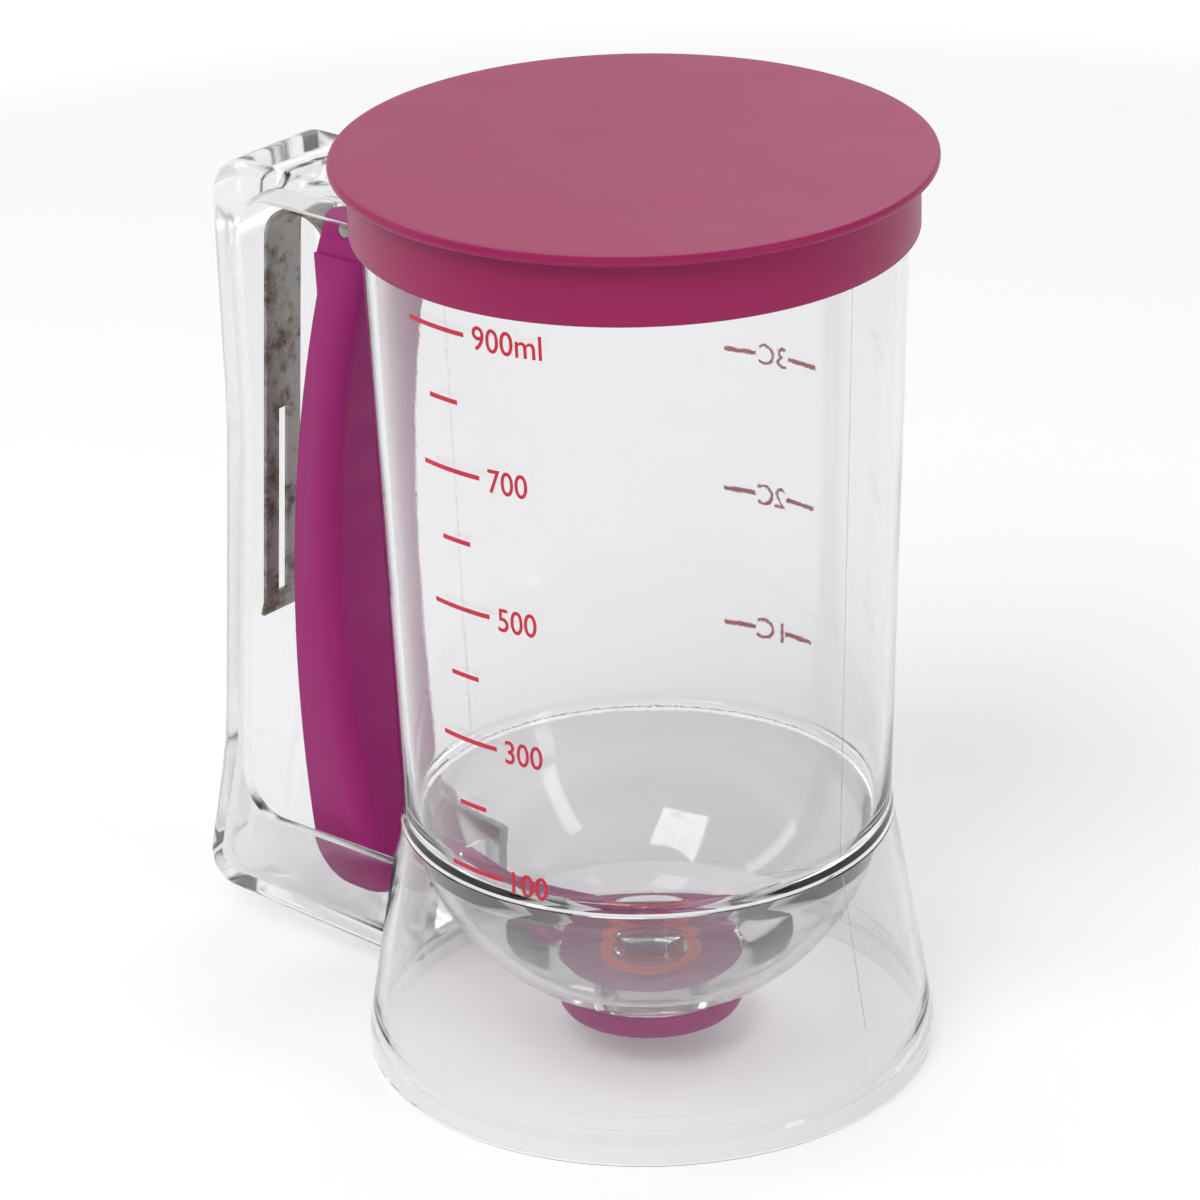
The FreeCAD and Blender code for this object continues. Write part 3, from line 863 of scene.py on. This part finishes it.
class DISPENSER_OT_stage(bpy.types.Operator):
    """Lay the floor, hang the lamps and place the camera"""
    bl_idname = "dispenser.stage"
    bl_label = "Stage"

    def execute(self, context):
        studio = context.scene.dispenser_studio
        start_fresh()
        bpy.ops.mesh.primitive_plane_add(size=1.6, location=(-0.1, 0.12, 0))
        floor = bpy.context.object
        floor.name = "floor"
        material, nodes, links, shader = blank_material("Pale floor")
        shader.inputs["Base Color"].default_value = (0.86, 0.86, 0.87, 1)
        shader.inputs["Roughness"].default_value = 0.9
        shader.inputs["Specular IOR Level"].default_value = 0.0
        path = nodes.new("ShaderNodeLightPath")
        seen = math_node(nodes, links, "MAXIMUM", path.outputs["Is Camera Ray"],
                         path.outputs["Is Glossy Ray"])
        seen = math_node(nodes, links, "MAXIMUM", seen, path.outputs["Is Transmission Ray"])
        # past the object the floor glows more, so that it ends in the white behind it
        place = nodes.new("ShaderNodeTexCoord")
        away = nodes.new("ShaderNodeVectorMath")
        away.operation = "LENGTH"
        links.new(place.outputs["Object"], away.inputs[0])
        rise = nodes.new("ShaderNodeMapRange")
        rise.interpolation_type = "SMOOTHSTEP"
        rise.inputs["From Min"].default_value = 0.42
        rise.inputs["From Max"].default_value = 0.68
        rise.inputs["To Min"].default_value = studio.floor
        rise.inputs["To Max"].default_value = studio.floor + 0.45
        links.new(away.outputs["Value"], rise.inputs["Value"])
        glow = math_node(nodes, links, "MULTIPLY", seen, rise.outputs["Result"])
        shader.inputs["Emission Color"].default_value = (1, 1, 1, 1)
        links.new(glow, shader.inputs["Emission Strength"])
        floor.data.materials.append(material)

        world = bpy.data.worlds.new("Studio")
        world.use_nodes = True
        context.scene.world = world
        nodes, links = world.node_tree.nodes, world.node_tree.links
        # a bright sweep behind the object, a dark room to its sides
        place = nodes.new("ShaderNodeTexCoord")
        towards = nodes.new("ShaderNodeVectorMath")
        towards.operation = "DOT_PRODUCT"
        towards.inputs[1].default_value = (-0.649, 0.761, 0.0)
        links.new(place.outputs["Generated"], towards.inputs[0])
        sweep = nodes.new("ShaderNodeMapRange")
        sweep.interpolation_type = "SMOOTHSTEP"
        sweep.inputs["From Min"].default_value = 0.25
        sweep.inputs["From Max"].default_value = 0.8
        sweep.inputs["To Max"].default_value = 1.0
        links.new(towards.outputs["Value"], sweep.inputs["Value"])
        path = nodes.new("ShaderNodeLightPath")
        room = spread(nodes, links, path.outputs["Is Glossy Ray"], studio.ambient,
                      studio.ambient * 0.45)
        links.new(room, sweep.inputs["To Min"])
        level = nodes.new("ShaderNodeMix")
        level.inputs["B"].default_value = 1.0
        # seen through a clear wall the room is as white as it is beside the object
        parts = nodes.new("ShaderNodeSeparateXYZ")
        links.new(place.outputs["Generated"], parts.inputs["Vector"])
        low = nodes.new("ShaderNodeMapRange")
        low.interpolation_type = "SMOOTHSTEP"
        low.inputs["From Min"].default_value = 0.25
        low.inputs["From Max"].default_value = 0.5
        low.inputs["To Min"].default_value = 1.0
        low.inputs["To Max"].default_value = 0.0
        links.new(parts.outputs["Z"], low.inputs["Value"])
        through = math_node(nodes, links, "MULTIPLY", path.outputs["Is Transmission Ray"],
                            low.outputs["Result"])
        links.new(math_node(nodes, links, "MAXIMUM", path.outputs["Is Camera Ray"], through),
                  level.inputs["Factor"])
        links.new(sweep.outputs["Result"], level.inputs["A"])
        links.new(level.outputs["Result"], nodes["Background"].inputs["Strength"])
        nodes["Background"].inputs["Color"].default_value = (1, 1, 1, 1)

        lamps = [("key_lamp", (0.2, -0.9, 1.3), (0.7, 0.7), studio.key),
                 ("left_strip", (-1.1, -0.6, 0.7), (0.25, 0.9), studio.fill),
                 ("right_strip", (1.2, 0.1, 0.6), (0.2, 0.9), studio.fill),
                 ("back_lamp", (-0.4, 1.2, 1.1), (0.8, 0.5), studio.fill)]
        for name, place, size, power in lamps:
            data = bpy.data.lights.new(name, "AREA")
            data.shape = "RECTANGLE"
            data.size, data.size_y = size
            data.energy = power
            lamp = bpy.data.objects.new(name, data)
            context.scene.collection.objects.link(lamp)
            lamp.visible_glossy = name != "key_lamp"
            aim = Vector((0, 0, 0.09)) - Vector(place)
            turn = aim.to_track_quat("-Z", "Y").to_matrix().to_4x4()
            lamp.matrix_world = Matrix.Translation(place) @ turn

        view = bpy.data.cameras.new("camera")
        view.lens, view.sensor_width = 173.68, 36.0
        camera = bpy.data.objects.new("camera", view)
        context.scene.collection.objects.link(camera)
        camera.matrix_world = (Matrix.Translation((0.6608, -0.7876, 0.5502))
                               @ Matrix.Rotation(math.radians(40.46), 4, "Z")
                               @ Matrix.Rotation(math.radians(66.09), 4, "X")
                               @ Matrix.Rotation(math.radians(-1.42), 4, "Z"))
        context.scene.camera = camera
        context.scene.view_settings.view_transform = "Standard"
        return {"FINISHED"}


STEPS = (DISPENSER_OT_finishes, DISPENSER_OT_vessel, DISPENSER_OT_skirt,
         DISPENSER_OT_handle, DISPENSER_OT_lid, DISPENSER_OT_lever, DISPENSER_OT_valve,
         DISPENSER_OT_spring, DISPENSER_OT_volume_marks, DISPENSER_OT_parting_lines,
         DISPENSER_OT_stage)
GROUPS = (DispenserSizes, DispenserColours, DispenserStudio)


class DISPENSER_PT_panel(bpy.types.Panel):
    """Sizes, colours and steps of the dispenser"""
    bl_label = "Batter dispenser"
    bl_idname = "DISPENSER_PT_panel"
    bl_space_type = "VIEW_3D"
    bl_region_type = "UI"
    bl_category = "Dispenser"

    def draw(self, context):
        for settings in (context.scene.dispenser_sizes, context.scene.dispenser_colours,
                         context.scene.dispenser_studio):
            box = self.layout.box()
            for key in settings.__annotations__:
                box.prop(settings, key)
        for step in STEPS:
            self.layout.operator(step.bl_idname)


def register():
    for group in (*GROUPS, *STEPS, DISPENSER_PT_panel):
        bpy.utils.register_class(group)
    bpy.types.Scene.dispenser_sizes = PointerProperty(type=DispenserSizes)
    bpy.types.Scene.dispenser_colours = PointerProperty(type=DispenserColours)
    bpy.types.Scene.dispenser_studio = PointerProperty(type=DispenserStudio)


def unregister():
    del bpy.types.Scene.dispenser_sizes
    del bpy.types.Scene.dispenser_colours
    del bpy.types.Scene.dispenser_studio
    for group in reversed((*GROUPS, *STEPS, DISPENSER_PT_panel)):
        bpy.utils.unregister_class(group)


def main():
    register()
    for step in STEPS:
        area, name = step.bl_idname.split(".")
        getattr(getattr(bpy.ops, area), name)()


if __name__ == "__main__":
    main()
